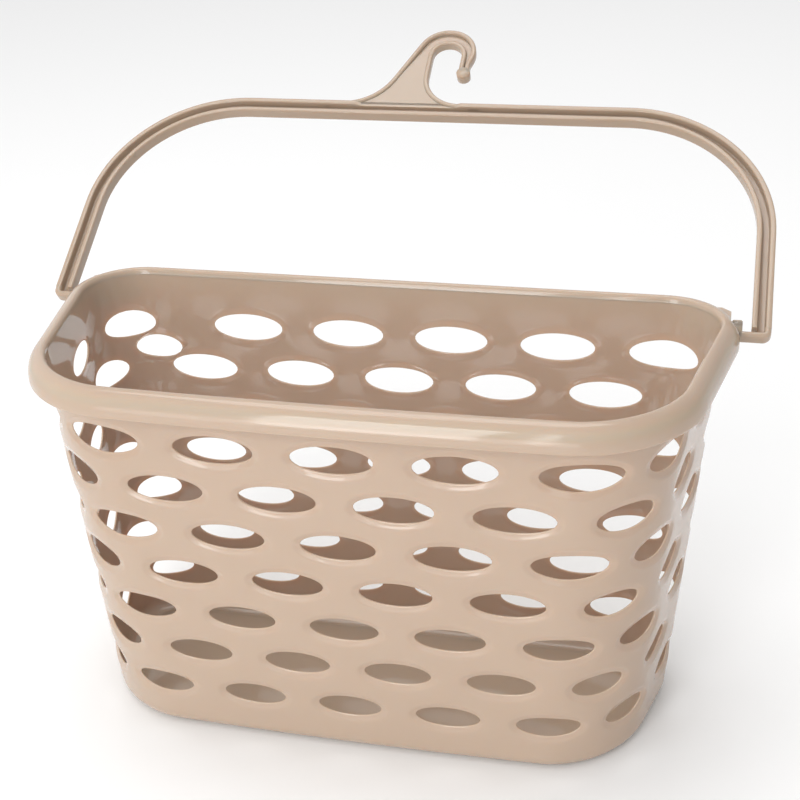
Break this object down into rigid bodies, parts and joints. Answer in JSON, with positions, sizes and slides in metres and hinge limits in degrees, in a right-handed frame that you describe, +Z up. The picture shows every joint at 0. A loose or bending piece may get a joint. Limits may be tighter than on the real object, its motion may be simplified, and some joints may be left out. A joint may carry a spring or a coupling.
{
  "type": "shower caddy",
  "caption": "Hanging plastic shower caddy: a tapered basket with staggered oval holes and a rolled rim, and a folding bail handle with a central open hook.",
  "frame": {"origin": "middle of the basket's flat underside, on the surface it stands on", "axes": "+Z up, -Y to the front of the basket, +X to the right when looking at the front, along the handle's hinge line"},
  "size_m": [0.338, 0.2714, 0.2662],
  "materials": {
    "basket_plastic": "glossy moulded polypropylene, warm beige",
    "handle_plastic": "glossy moulded polypropylene, warm beige"
  },
  "bodies": {
    "basket": {"basket_wall": "basket_plastic", "basket_floor": "basket_plastic", "rim_band": "basket_plastic", "pivot_socket_left": "basket_plastic", "pivot_socket_right": "basket_plastic"},
    "handle": {"handle_bail": "handle_plastic", "hanging_hook": "handle_plastic", "pivot_foot_left": "handle_plastic", "pivot_foot_right": "handle_plastic"}
  },
  "joints": [
    {"name": "handle_swing", "type": "hinge", "parent": "basket", "child": "handle", "pos_m": [0, 0.0635, 0.1695], "axis": [1, 0, 0], "range_deg": [-106, 138]}
  ]
}
